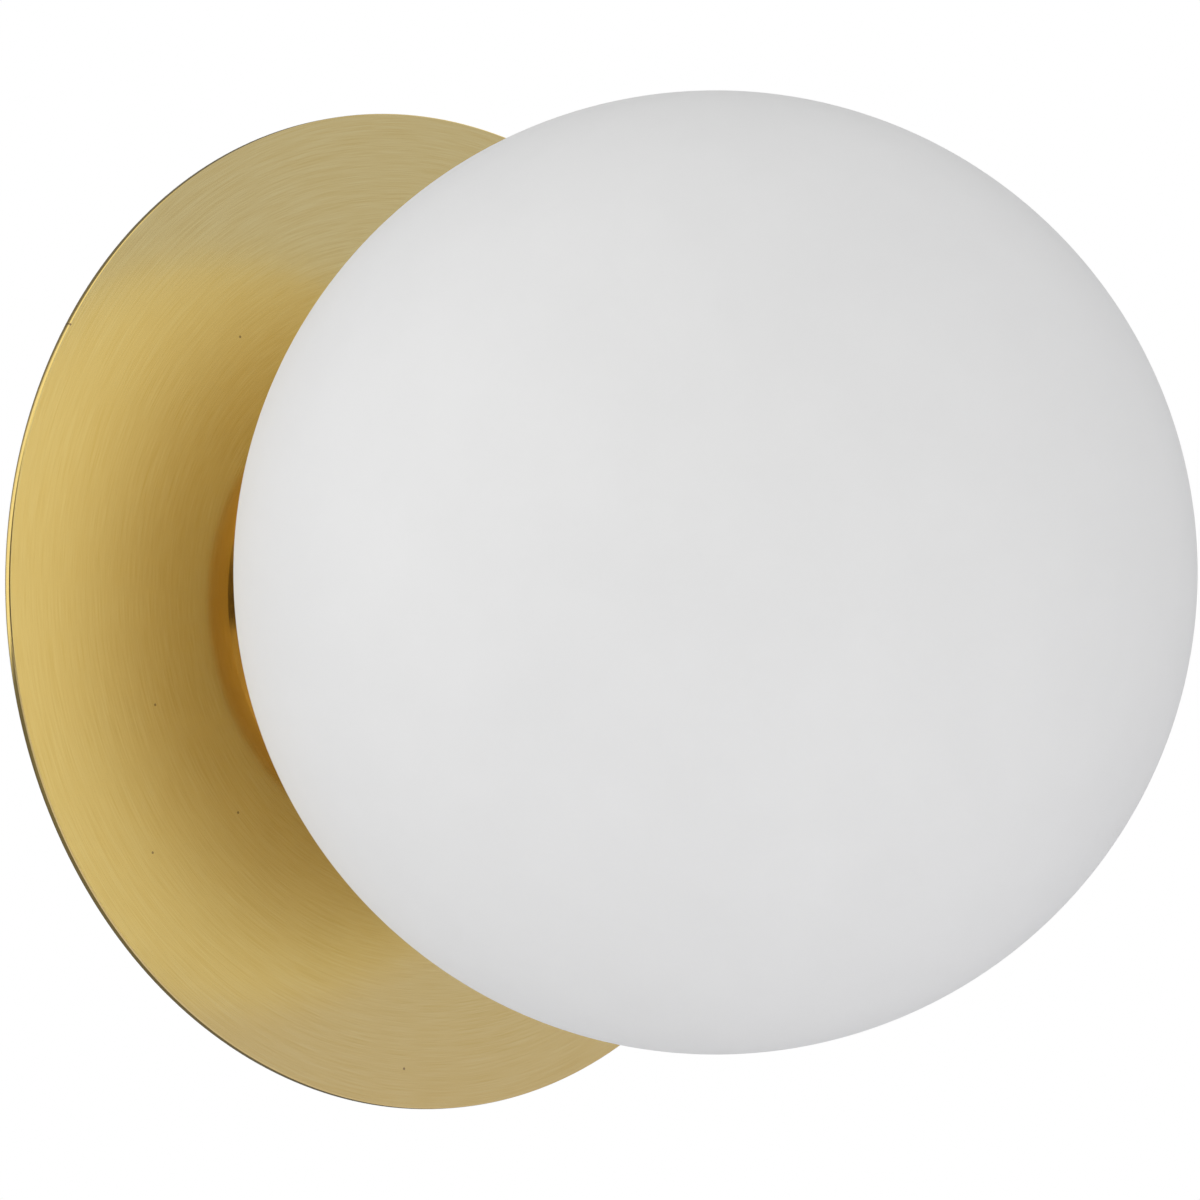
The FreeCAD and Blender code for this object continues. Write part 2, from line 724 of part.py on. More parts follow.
def build():
    """Every node by its name."""
    bore = nipple_radius + thread_clearance
    return {
        "mounting_crossbar": make_mounting_crossbar(),
        "canopy_cup": make_canopy_cup(),
        "canopy_side_screws": make_canopy_side_screws(),
        "ground_screw": make_ground_screw(),
        "earth_lug": make_earth_lug(),
        "terminal_block": make_terminal_block(),
        "terminal_sleeves": make_terminal_sleeves(),
        "terminal_screws": make_terminal_screws(),
        "terminal_fixing_screw": make_terminal_fixing_screw(),
        "live_lead": make_live_lead(),
        "neutral_lead": make_neutral_lead(),
        "earth_lead": make_earth_lead(),
        "disc_plate": make_disc_plate(),
        "glass_collar": make_glass_collar(),
        "threaded_nipple": make_threaded_nipple(),
        "rear_lock_washer": make_lock_washer(rear_washer_depth),
        "rear_nut": hex_nut(nut_flats, nut_height, bore, rear_nut_depth),
        "front_lock_washer": make_lock_washer(front_washer_depth),
        "front_nut": hex_nut(nut_flats, nut_height, bore, front_nut_depth, turned=front_nut_turn),
        "lamp_bridge": make_lamp_bridge(),
        "bridge_screws": make_bridge_screws(),
        "bridge_nuts": make_bridge_nuts(),
        "socket_body": make_socket_body(),
        "socket_contacts": make_socket_contacts(),
        "socket_screws": make_socket_screws(),
        "lamp_pins": make_lamp_pins(),
        "lamp_base": make_lamp_base(),
        "lamp_envelope": make_lamp_envelope(),
        "led_core": make_led_core(),
        "globe_gasket": make_globe_gasket(),
        "glass_globe": make_glass_globe(),
    }


os.makedirs("parts", exist_ok=True)
for name, shape in build().items():
    shape.exportStep(os.path.join("parts", name + ".step"))
    print(f"{name}: {len(shape.Solids)} solid(s), {shape.Volume:.0f} mm3, valid {shape.isValid()}")
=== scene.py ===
# %% [markdown]
# # A globe wall sconce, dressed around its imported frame
#
# The sconce is a closed opal glass globe that stands in front of a flat round brass plate.
# Every solid that fits, fastens or moves comes from the frame, in metres, and is never changed here.
# This file gives each of them its finish, and models again, with rounder and finer meshes, the pieces
# that the eye meets first: globe, plate, collar, gasket, the cup behind the plate and the lamp's cover. It
# adds one form that no solid has, the low thread on the globe's neck.
#
# The wall is the plane y = 0, the sconce stands out along -Y, and its axis is the Y axis itself.

# %% Load the frame
import bpy
import math
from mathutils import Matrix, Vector


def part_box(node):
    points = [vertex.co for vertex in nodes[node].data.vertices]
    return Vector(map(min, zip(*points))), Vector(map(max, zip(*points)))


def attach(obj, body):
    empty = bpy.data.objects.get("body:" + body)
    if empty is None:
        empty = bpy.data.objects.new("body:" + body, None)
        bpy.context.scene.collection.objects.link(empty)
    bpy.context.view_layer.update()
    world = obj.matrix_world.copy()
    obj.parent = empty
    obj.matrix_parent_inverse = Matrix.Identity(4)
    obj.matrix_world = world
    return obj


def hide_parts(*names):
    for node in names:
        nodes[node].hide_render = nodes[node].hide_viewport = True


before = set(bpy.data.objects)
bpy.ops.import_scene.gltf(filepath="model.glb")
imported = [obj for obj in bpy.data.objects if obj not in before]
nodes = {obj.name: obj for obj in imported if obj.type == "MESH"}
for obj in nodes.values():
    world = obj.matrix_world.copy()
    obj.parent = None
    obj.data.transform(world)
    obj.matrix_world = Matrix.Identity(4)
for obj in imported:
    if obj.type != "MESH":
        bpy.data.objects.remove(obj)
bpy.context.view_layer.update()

MM = 0.001

# %% [markdown]
# ## Sizes read from the frame
#
# A dressed piece has to sit exactly where its solid sits. So the sizes are read from the boxes of the
# solids, and only what a box can't tell, such as a wall thickness, is given here.

# %% Read the main sizes
globe_low, globe_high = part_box("glass_globe")
plate_low, plate_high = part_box("disc_plate")
collar_low, collar_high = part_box("glass_collar")
gasket_low, gasket_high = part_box("globe_gasket")
cup_low, cup_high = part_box("canopy_cup")

globe_radius = (globe_high.z - globe_low.z) / 2
globe_centre = Vector((0, globe_low.y + globe_radius, 0))
plate_radius = plate_high.z
cup_radius = cup_high.z
collar_radius = collar_high.z
print(f"globe {2 * globe_radius / MM:.1f} mm, plate {2 * plate_radius / MM:.1f} mm")
print(f"globe centre {-globe_centre.y / MM:.1f} mm from the wall")

# %% [markdown]
# ## The camera
#
# The photograph looks at the sconce from its left and from a little below, with a long lens, so that
# the plate is an ellipse and the globe stays a true circle. The angles come from the shape of that
# ellipse. The camera stands 2 m from the globe, and aims past it, because the globe is right of the
# middle of the picture.

# %% Place the camera
IMAGE_SIZE = 1200
VIEW_AZIMUTH = math.radians(-38.58)
VIEW_ELEVATION = math.radians(-5.71)
VIEW_DISTANCE = 2.0
PIXELS_PER_RADIAN = 12850
GLOBE_PIXEL = (715.4, 572.6)
SENSOR = 36.0

back = Vector((math.sin(VIEW_AZIMUTH) * math.cos(VIEW_ELEVATION),
               -math.cos(VIEW_AZIMUTH) * math.cos(VIEW_ELEVATION), math.sin(VIEW_ELEVATION)))
right = (-back).cross(Vector((0, 0, 1))).normalized()
up = right.cross(-back)
metres_per_pixel = VIEW_DISTANCE / PIXELS_PER_RADIAN
aim = (globe_centre - right * (GLOBE_PIXEL[0] - IMAGE_SIZE / 2) * metres_per_pixel
       + up * (GLOBE_PIXEL[1] - IMAGE_SIZE / 2) * metres_per_pixel)

camera_data = bpy.data.cameras.new("photo_camera")
camera_data.sensor_width = SENSOR
camera_data.lens = PIXELS_PER_RADIAN / IMAGE_SIZE * SENSOR
camera_data.clip_start = 0.05
camera_data.clip_end = 50
camera = bpy.data.objects.new("photo_camera", camera_data)
bpy.context.scene.collection.objects.link(camera)
camera.location = globe_centre + back * VIEW_DISTANCE
camera.rotation_euler = (aim - camera.location).to_track_quat("-Z", "Y").to_euler()
bpy.context.scene.camera = camera
print(f"lens {camera_data.lens:.0f} mm at {VIEW_DISTANCE} m")

# %% [markdown]
# ## Node helpers
#
# Each finish is a small node tree. These helpers add a node, set its constant inputs and join sockets,
# so that a material reads as a list of what it is made of.

# %% Node helpers
def new_material(name):
    """A material with only a Principled shader and its output."""
    material = bpy.data.materials.new(name)
    material.use_nodes = True
    tree = material.node_tree
    tree.nodes.clear()
    shader = tree.nodes.new("ShaderNodeBsdfPrincipled")
    output = tree.nodes.new("ShaderNodeOutputMaterial")
    tree.links.new(shader.outputs["BSDF"], output.inputs["Surface"])
    return material, tree, shader


def join(tree, source, target):
    """A link from one socket to another."""
    tree.links.new(source, target)


def maths(tree, operation, first, second=None):
    """The output of a Math node on one or two sockets or numbers."""
    node = tree.nodes.new("ShaderNodeMath")
    node.operation = operation
    for index, value in enumerate((first, second)):
        if value is None:
            continue
        if isinstance(value, (int, float)):
            node.inputs[index].default_value = value
        else:
            tree.links.new(value, node.inputs[index])
    return node.outputs[0]


def object_position(tree):
    """The Object coordinates. Every piece sits at the origin, so they are metres in the row frame."""
    return tree.nodes.new("ShaderNodeTexCoord").outputs["Object"]


def object_axes(tree):
    """The three Object coordinates as single numbers."""
    return split_axes(tree, object_position(tree))


def split_axes(tree, vector):
    """The three numbers of a vector socket."""
    node = tree.nodes.new("ShaderNodeSeparateXYZ")
    join(tree, vector, node.inputs[0])
    return node.outputs


def pointing(tree, vector, direction):
    """How far a vector socket points in a fixed direction."""
    node = tree.nodes.new("ShaderNodeVectorMath")
    node.operation = "DOT_PRODUCT"
    join(tree, vector, node.inputs[0])
    node.inputs[1].default_value = direction
    return node.outputs["Value"]


def ramp(tree, factor, stops):
    """A colour ramp over a factor: stops are (place, colour)."""
    node = tree.nodes.new("ShaderNodeValToRGB")
    elements = node.color_ramp.elements
    elements[0].position, elements[0].color = stops[0][0], (*stops[0][1], 1)
    elements[1].position, elements[1].color = stops[-1][0], (*stops[-1][1], 1)
    for place, colour in stops[1:-1]:
        element = elements.new(place)
        element.color = (*colour, 1)
    tree.links.new(factor, node.inputs["Fac"])
    return node.outputs["Color"]


def spread(tree, factor, low, high):
    """A factor from 0 to 1 spread between two numbers."""
    node = tree.nodes.new("ShaderNodeMapRange")
    node.inputs["To Min"].default_value = low
    node.inputs["To Max"].default_value = high
    tree.links.new(factor, node.inputs["Value"])
    return node.outputs["Result"]


def bump(tree, shader, height, distance, strength=1.0):
    """Bump from a height socket; the distance is the height of 1 in metres."""
    node = tree.nodes.new("ShaderNodeBump")
    node.inputs["Strength"].default_value = strength
    node.inputs["Distance"].default_value = distance
    tree.links.new(height, node.inputs["Height"])
    tree.links.new(node.outputs["Normal"], shader.inputs["Normal"])


def noise(tree, vector, scale, detail=2.0, rough=0.5):
    """A noise factor over a vector socket."""
    node = tree.nodes.new("ShaderNodeTexNoise")
    node.inputs["Scale"].default_value = scale
    node.inputs["Detail"].default_value = detail
    node.inputs["Roughness"].default_value = rough
    tree.links.new(vector, node.inputs["Vector"])
    return node.outputs["Fac"]


def smooth_step(tree, value, start, end):
    """A number that goes smoothly from 0 to 1 while the value goes from start to end."""
    node = tree.nodes.new("ShaderNodeMapRange")
    node.interpolation_type = "SMOOTHSTEP"
    for name, number in zip(("From Min", "From Max"), (start, end)):
        node.inputs[name].default_value = number
    join(tree, value, node.inputs["Value"])
    return node.outputs["Result"]


def blend_colours(tree, factor, first, second):
    """The first colour where the factor is 0 and the second where it is 1."""
    node = tree.nodes.new("ShaderNodeMix")
    node.data_type = "RGBA"
    join(tree, factor, node.inputs["Factor"])
    for index, colour in ((6, first), (7, second)):
        if isinstance(colour, tuple):
            node.inputs[index].default_value = (*colour, 1)
        else:
            join(tree, colour, node.inputs[index])
    return node.outputs[2]


def tell(material):
    """Prints how many nodes the finish is made of."""
    print(f"finish {material.name}: {len(material.node_tree.nodes)} nodes")

# %% [markdown]
# ## Polar coordinates for what is turned or brushed on a lathe
#
# The plate was brushed while it turned, so its scratches are arcs about the Y axis. A noise that varies
# quickly with the radius and slowly round the circle looks like them. Its vector is (radius + y,
# x / radius, z / radius), which has no seam, unlike an angle. The y in it makes the scratches run round
# the side of the collar and of the cup too, where the radius is the same all over.

# %% Ring coordinates
SMALLEST_RADIUS = 0.01 * MM


def ring_vector(tree, across, round_about):
    """A vector whose first part counts across the scratches and whose other two count along them."""
    x, y, z = object_axes(tree)
    radius = maths(tree, "SQRT", maths(tree, "ADD", maths(tree, "MULTIPLY", x, x),
                                       maths(tree, "MULTIPLY", z, z)))
    safe = maths(tree, "MAXIMUM", radius, SMALLEST_RADIUS)
    joined = tree.nodes.new("ShaderNodeCombineXYZ")
    depth_part = maths(tree, "MULTIPLY", y, across)
    join(tree, maths(tree, "ADD", maths(tree, "MULTIPLY", radius, across), depth_part), joined.inputs[0])
    for index, axis in ((1, x), (2, z)):
        part = maths(tree, "DIVIDE", axis, safe)
        join(tree, maths(tree, "MULTIPLY", part, round_about), joined.inputs[index])
    return joined.outputs[0]

# %% [markdown]
# ## Brushed brass
#
# The plate is brass, brushed in rings under a thin lacquer. Three things make the look: the arcs, at two
# scales; a shader whose reflections are smeared across the arcs; and a colour that wanders a little from
# ring to ring, with a few darker specks where the lacquer has pores. A radial tangent runs along the arcs,
# and the shader smears along its tangent, so the anisotropy is turned by a quarter.

# %% Material: brushed brass
BRASS = (0.95, 0.70, 0.215)
BRASS_DEEP = (0.90, 0.64, 0.175)
BRASS_PALE = (0.98, 0.75, 0.255)
SPECK = (0.42, 0.28, 0.10)
SPECK_CELLS = 62.0
SPECK_SIZE = 0.013
SPECK_CHANCE = 0.28
FINE_RINGS = (9000, 9.0)
WIDE_RINGS = (1600, 3.0)
FINE_SHARE = 0.8
TONE_STOPS = (0.34, 0.50, 0.66)
BRASS_ROUGHNESS = (0.15, 0.21)
SMEAR = 0.6
QUARTER_TURN = 0.25
LACQUER = 0.7
LACQUER_ROUGHNESS = 0.3
SCRATCH_DEPTH = 0.000007


def dark_specks(tree):
    """1 in a few small dots strewn over the plate's plane, and 0 elsewhere."""
    x, y, z = object_axes(tree)
    flat = tree.nodes.new("ShaderNodeCombineXYZ")
    join(tree, x, flat.inputs[0])
    join(tree, z, flat.inputs[1])
    cells = tree.nodes.new("ShaderNodeTexVoronoi")
    cells.voronoi_dimensions = "2D"
    cells.inputs["Scale"].default_value = SPECK_CELLS
    join(tree, flat.outputs[0], cells.inputs["Vector"])
    near = maths(tree, "LESS_THAN", cells.outputs["Distance"], SPECK_SIZE)
    chance = split_axes(tree, cells.outputs["Color"])[0]
    return maths(tree, "MULTIPLY", near, maths(tree, "GREATER_THAN", chance, 1 - SPECK_CHANCE))


def make_ring_brass(name, deep, middle, pale, lacquer):
    """Brass brushed in circles about the sconce's axis, between three tones, under a lacquer."""
    material, tree, shader = new_material(name)
    shader.inputs["Metallic"].default_value = 1.0
    fine = noise(tree, ring_vector(tree, *FINE_RINGS), 1.0, 2.0)
    wide = noise(tree, ring_vector(tree, *WIDE_RINGS), 1.0, 3.0)
    both = maths(tree, "ADD", maths(tree, "MULTIPLY", fine, FINE_SHARE),
                 maths(tree, "MULTIPLY", wide, 1 - FINE_SHARE))
    rings = ramp(tree, both, list(zip(TONE_STOPS, (deep, middle, pale))))
    join(tree, blend_colours(tree, dark_specks(tree), rings, SPECK), shader.inputs["Base Color"])
    join(tree, spread(tree, both, *BRASS_ROUGHNESS), shader.inputs["Roughness"])
    shader.inputs["Anisotropic"].default_value = SMEAR
    shader.inputs["Anisotropic Rotation"].default_value = QUARTER_TURN
    tangent = tree.nodes.new("ShaderNodeTangent")
    tangent.direction_type = "RADIAL"
    tangent.axis = "Y"
    join(tree, tangent.outputs[0], shader.inputs["Tangent"])
    shader.inputs["Coat Weight"].default_value = lacquer
    shader.inputs["Coat Roughness"].default_value = LACQUER_ROUGHNESS
    bump(tree, shader, both, SCRATCH_DEPTH, 0.6)
    tell(material)
    return material


brushed_brass = make_ring_brass("brushed_brass", BRASS_DEEP, BRASS, BRASS_PALE, LACQUER)

# %% [markdown]
# ## Turned brass, darkened as painted shade
#
# The collar is turned from bar and has no lacquer. Its colour is also made far darker and browner than the
# sheet's, as painted shade, because it sits in the gap between plate and globe, where shade falls, and the
# plate also mirrors it.

# %% Material: turned brass with painted shade
# Painted shade: these brass tones are darkened to stand for the shade in the gap between plate and globe.
SHADED_TURNED_DEEP = (0.58, 0.37, 0.10)
SHADED_TURNED = (0.64, 0.42, 0.12)
SHADED_TURNED_PALE = (0.70, 0.47, 0.14)
NO_LACQUER = 0.0

shaded_turned_brass = make_ring_brass("shaded_turned_brass", SHADED_TURNED_DEEP, SHADED_TURNED, SHADED_TURNED_PALE, NO_LACQUER)

# %% [markdown]
# ## Opal glass
#
# Opal glass lets light in and scatters it, so it is white without looking painted. Its outside is etched:
# a very fine grain that breaks up every reflection. The white is kept a little under full, so that the
# globe stands out from the white background.

# %% Material: opal glass
OPAL = (0.780, 0.780, 0.778)
OPAL_SHADE = (0.765, 0.765, 0.763)
OPAL_REACH = (0.004, 0.004, 0.004)
OPAL_ROUGHNESS = (0.55, 0.68)
ETCH_DEPTH = 0.00002


def make_opal_glass():
    """Flashed opal glass with a satin, etched outside."""
    material, tree, shader = new_material("opal_glass")
    position = object_position(tree)
    mottle = noise(tree, position, 60.0, 3.0)
    join(tree, ramp(tree, mottle, [(0.3, OPAL_SHADE), (0.7, OPAL)]), shader.inputs["Base Color"])
    shader.inputs["Subsurface Weight"].default_value = 0.8
    shader.inputs["Subsurface Radius"].default_value = OPAL_REACH
    shader.inputs["Subsurface Scale"].default_value = 1.0
    shader.inputs["IOR"].default_value = 1.46
    etched = noise(tree, position, 2600.0, 2.0)
    join(tree, spread(tree, etched, *OPAL_ROUGHNESS), shader.inputs["Roughness"])
    bump(tree, shader, etched, ETCH_DEPTH, 0.3)
    tell(material)
    return material


opal_glass = make_opal_glass()

# %% [markdown]
# ## Plated, turned and drawn metals
#
# Behind the plate, and inside the globe, everything is ordinary hardware: zinc plate, spring steel, turned
# brass, tinned copper, nickel wire. They differ in colour and gloss, so one recipe makes them all: a base
# colour that wanders softly towards a second one, and a fine grain that moves the gloss and the normal.

# %% Materials: metals
GRAIN_DEPTH = 0.000006
GLOSS_SPAN = 0.08


def make_metal(name, colour, shade, gloss, cloud_scale=160.0, grain_scale=2400.0):
    """A metal between two colours; gloss is its middle roughness."""
    material, tree, shader = new_material(name)
    shader.inputs["Metallic"].default_value = 1.0
    position = object_position(tree)
    cloud = noise(tree, position, cloud_scale, 3.0)
    grain = noise(tree, position, grain_scale, 2.0)
    join(tree, ramp(tree, cloud, [(0.32, shade), (0.68, colour)]), shader.inputs["Base Color"])
    join(tree, spread(tree, grain, gloss - GLOSS_SPAN, gloss + GLOSS_SPAN), shader.inputs["Roughness"])
    bump(tree, shader, grain, GRAIN_DEPTH, 0.5)
    tell(material)
    return material


zinc_steel = make_metal("zinc_steel", (0.60, 0.62, 0.64), (0.47, 0.50, 0.54), 0.34, 90.0)
zinc_screw = make_metal("zinc_screw", (0.66, 0.67, 0.68), (0.54, 0.56, 0.58), 0.28)
spring_steel = make_metal("spring_steel", (0.36, 0.36, 0.37), (0.26, 0.26, 0.28), 0.38)
earth_green = make_metal("earth_green", (0.10, 0.40, 0.16), (0.06, 0.30, 0.12), 0.36)
tinned_copper = make_metal("tinned_copper", (0.70, 0.67, 0.62), (0.58, 0.54, 0.49), 0.32)
plain_brass = make_metal("plain_brass", (0.76, 0.58, 0.25), (0.64, 0.46, 0.17), 0.30)
brass_screw = make_metal("brass_screw", (0.82, 0.63, 0.27), (0.70, 0.51, 0.19), 0.27)
pin_nickel = make_metal("pin_nickel", (0.70, 0.68, 0.62), (0.58, 0.56, 0.51), 0.24)

# %% [markdown]
# ## The middle nipple's thread
#
# The nipple is threaded all along with a pitch of one millimetre. A helix about the Y axis is one turn of
# angle for one pitch of depth, so the thread's height is a zigzag over depth / pitch + angle / full turn.

# %% Material: threaded steel
THREAD_PITCH = 1.0 * MM
THREAD_HEIGHT = 0.25 * MM


def make_threaded_steel():
    """Zinc-plated steel with a thread about the sconce's axis."""
    material = make_metal("threaded_steel", (0.60, 0.62, 0.64), (0.47, 0.50, 0.54), 0.32)
    tree = material.node_tree
    shader = next(node for node in tree.nodes if node.type == "BSDF_PRINCIPLED")
    x, y, z = object_axes(tree)
    turn = maths(tree, "DIVIDE", maths(tree, "ARCTAN2", z, x), 2 * math.pi)
    phase = maths(tree, "ADD", maths(tree, "DIVIDE", y, THREAD_PITCH), turn)
    ridge = maths(tree, "PINGPONG", phase, 0.5)
    bump(tree, shader, maths(tree, "MULTIPLY", ridge, 2.0), THREAD_HEIGHT)
    return material


threaded_steel = make_threaded_steel()

# %% [markdown]
# ## Plastics, ceramics and rubber
#
# The rest is moulded or fired: nylon for the terminal block, glazed ceramic for the lampholder, sleeves of
# the leads, the lamp's plastic and its frosted cover, and the silicone ring under the globe. They let a
# little light in, so they get some subsurface scattering, and a faint unevenness from the mould.

# %% Materials: plastics, ceramics and rubber
SKIN_DEPTH = 0.00001
SKIN_SPAN = 0.06


def make_moulded(name, colour, shade, gloss, inside=0.2, reach=0.001):
    """A moulded or fired piece; inside is how much light goes in, reach how far, in metres."""
    material, tree, shader = new_material(name)
    position = object_position(tree)
    cloud = noise(tree, position, 220.0, 3.0)
    skin = noise(tree, position, 1500.0, 2.0)
    join(tree, ramp(tree, cloud, [(0.3, shade), (0.7, colour)]), shader.inputs["Base Color"])
    join(tree, spread(tree, skin, gloss - SKIN_SPAN, gloss + SKIN_SPAN), shader.inputs["Roughness"])
    shader.inputs["Subsurface Weight"].default_value = inside
    shader.inputs["Subsurface Radius"].default_value = (reach, reach, reach)
    shader.inputs["Subsurface Scale"].default_value = 1.0
    bump(tree, shader, skin, SKIN_DEPTH, 0.4)
    tell(material)
    return material


block_nylon = make_moulded("block_nylon", (0.83, 0.82, 0.77), (0.78, 0.77, 0.71), 0.42, 0.5)
holder_ceramic = make_moulded("holder_ceramic", (0.84, 0.83, 0.79), (0.80, 0.78, 0.73), 0.16, 0.1)
core_ceramic = make_moulded("core_ceramic", (0.86, 0.85, 0.80), (0.82, 0.81, 0.75), 0.5, 0.1)
lamp_plastic = make_moulded("lamp_plastic", (0.86, 0.86, 0.84), (0.83, 0.83, 0.81), 0.24, 0.3)
lamp_frosted = make_moulded("lamp_frosted", (0.88, 0.88, 0.86), (0.85, 0.85, 0.83), 0.55, 0.8, 0.003)
gasket_silicone = make_moulded("gasket_silicone", (0.80, 0.80, 0.78), (0.75, 0.75, 0.73), 0.38, 0.7)
lead_brown = make_moulded("lead_brown", (0.20, 0.085, 0.04), (0.15, 0.06, 0.03), 0.38)
lead_blue = make_moulded("lead_blue", (0.04, 0.13, 0.42), (0.03, 0.10, 0.34), 0.38)

# %% [markdown]
# ## The earth lead
#
# An earth lead is green with yellow stripes along it. The lead turns corners, so a stripe by place alone
# would jump. But it runs mostly along X and Z, and a stripe on its room side and one on its wall side
# follow it everywhere: how far a point lies from the lead's own depth tells whether it is on one of them.

# %% Material: earth lead
LEAD_DEPTH = 7.0 * MM
STRIPE_START = 0.88 * MM
STRIPE_YELLOW = (0.78, 0.66, 0.06)


def make_earth_sleeve():
    """Green insulation with a yellow stripe on the side of the room and one on the wall's."""
    material = make_moulded("lead_green", (0.08, 0.34, 0.08), (0.06, 0.28, 0.06), 0.38)
    tree = material.node_tree
    shader = next(node for node in tree.nodes if node.type == "BSDF_PRINCIPLED")
    green = shader.inputs["Base Color"].links[0].from_socket
    x, y, z = object_axes(tree)
    off_axis = maths(tree, "ABSOLUTE", maths(tree, "ADD", y, LEAD_DEPTH))
    stripe = maths(tree, "GREATER_THAN", off_axis, STRIPE_START)
    join(tree, blend_colours(tree, stripe, green, STRIPE_YELLOW), shader.inputs["Base Color"])
    return material


lead_green = make_earth_sleeve()

# %% [markdown]
# ## Giving the solids their finish
#
# Solids that stay as they came from the frame only change their material. Their meshes aren't touched, so
# they keep the plain edges of the CAD.

# %% Finish the carried-over solids
FINISHES = {
    "mounting_crossbar": zinc_steel, "canopy_side_screws": brass_screw, "ground_screw": earth_green,
    "earth_lug": tinned_copper, "terminal_block": block_nylon, "terminal_sleeves": plain_brass,
    "terminal_screws": zinc_screw, "terminal_fixing_screw": zinc_screw, "live_lead": lead_brown,
    "neutral_lead": lead_blue, "earth_lead": lead_green, "threaded_nipple": threaded_steel,
    "rear_lock_washer": spring_steel, "rear_nut": zinc_steel, "front_lock_washer": spring_steel,
    "front_nut": zinc_steel, "lamp_bridge": zinc_steel, "bridge_screws": zinc_screw,
    "bridge_nuts": zinc_screw, "socket_body": holder_ceramic, "socket_contacts": plain_brass,
    "socket_screws": zinc_screw, "lamp_pins": pin_nickel, "lamp_base": lamp_plastic,
    "led_core": core_ceramic,
}

for name, material in FINISHES.items():
    solid = nodes[name]
    solid.data.materials.clear()
    solid.data.materials.append(material)
print("solids finished:", len(FINISHES))

# %% [markdown]
# ## Modelling helpers
#
# A turned piece is drawn as its profile and spun about the axis. The profile is drawn as by hand: one
# vertex is extruded from corner to corner, and chosen corners are then beveled.

# %% Modelling helpers
def deselect_all():
    """Nothing selected and nothing active."""
    bpy.ops.object.select_all(action="DESELECT")
    bpy.context.view_layer.objects.active = None


def edit(piece):
    """Edit mode on the piece alone."""
    deselect_all()
    piece.select_set(True)
    bpy.context.view_layer.objects.active = piece
    bpy.ops.object.mode_set(mode="EDIT")


def leave_edit():
    """Back to object mode."""
    bpy.ops.object.mode_set(mode="OBJECT")


def select_where(piece, test, kind="VERT"):
    """Selects the vertices, or the edges with both ends, that pass the test. Stays in edit mode."""
    bpy.ops.mesh.select_mode(type=kind)
    bpy.ops.mesh.select_all(action="DESELECT")
    leave_edit()
    mesh = piece.data
    if kind == "VERT":
        for vertex in mesh.vertices:
            vertex.select = test(vertex.co)
    else:
        for edge in mesh.edges:
            ends = [mesh.vertices[i].co for i in edge.vertices]
            edge.select = all(test(co) for co in ends)
    bpy.ops.object.mode_set(mode="EDIT")


def draw_profile(name, corners):
    """A closed outline in the plane z = 0 through (radius, depth) corners, in metres."""
    deselect_all()
    radius, depth = corners[0]
    bpy.ops.mesh.primitive_plane_add(size=MM, location=(radius, -depth, 0))
    piece = bpy.context.active_object
    piece.name = piece.data.name = name
    bpy.ops.object.transform_apply(location=True, rotation=True, scale=True)
    edit(piece)
    bpy.ops.mesh.select_mode(type="VERT")
    bpy.ops.mesh.select_all(action="SELECT")
    bpy.ops.mesh.merge(type="CENTER")
    for (r0, d0), (r1, d1) in zip(corners, corners[1:] + corners[:1]):
        bpy.ops.mesh.extrude_region_move(TRANSFORM_OT_translate={"value": (r1 - r0, d0 - d1, 0)})
    bpy.ops.mesh.select_all(action="SELECT")
    bpy.ops.mesh.remove_doubles(threshold=1e-6)
    return piece


def round_corner(piece, radius, depth, size, segments=5):
    """Bevels the profile's corner nearest to (radius, depth)."""
    target = Vector((radius, -depth, 0))
    select_where(piece, lambda co: (co - target).length < 2e-6)
    bpy.ops.mesh.bevel(offset=size, segments=segments, affect="VERTICES")


def spin_profile(piece, steps):
    """Spins the outline once about the Y axis, closes the seam and turns all faces outwards."""
    bpy.ops.mesh.select_all(action="SELECT")
    bpy.ops.mesh.spin(steps=steps, angle=2 * math.pi, center=(0, 0, 0), axis=(0, 1, 0))
    bpy.ops.mesh.select_all(action="SELECT")
    bpy.ops.mesh.remove_doubles(threshold=2e-6)
    bpy.ops.mesh.normals_make_consistent(inside=False)
    leave_edit()
    finish_shading(piece)


def finish_shading(piece, angle=30):
    """Smooth shading that keeps edges sharper than the angle."""
    deselect_all()
    piece.select_set(True)
    bpy.context.view_layer.objects.active = piece
    bpy.ops.object.shade_smooth_by_angle(angle=math.radians(angle))
    triangles = sum(len(face.vertices) - 2 for face in piece.data.polygons)
    print(f"{piece.name}: {triangles} triangles")


def dress(piece, node, body, material):
    """Puts the piece in the place of its solid, on its body, with its finish."""
    piece.data.materials.clear()
    piece.data.materials.append(material)
    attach(piece, body)
    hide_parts(node)

# %% [markdown]
# ## The glass globe
#
# The glass is blown: a round bulb, a shoulder and a straight neck. It starts as a UV sphere with its
# poles on the axis. The sphere is cut where the neck begins, the open ring is drawn back into the neck,
# the shoulder is rounded, and the shell then gets its thickness inwards.

# %% Model: glass globe
GLASS_THICKNESS = 3.0 * MM
NECK_RADIUS = 34.0 * MM
SHOULDER_ROUND = 1.5 * MM
LIP_ROUND = 0.9 * MM
SHOULDER_SHARE = 0.6
NEAR = 0.01 * MM
RINGS = 128


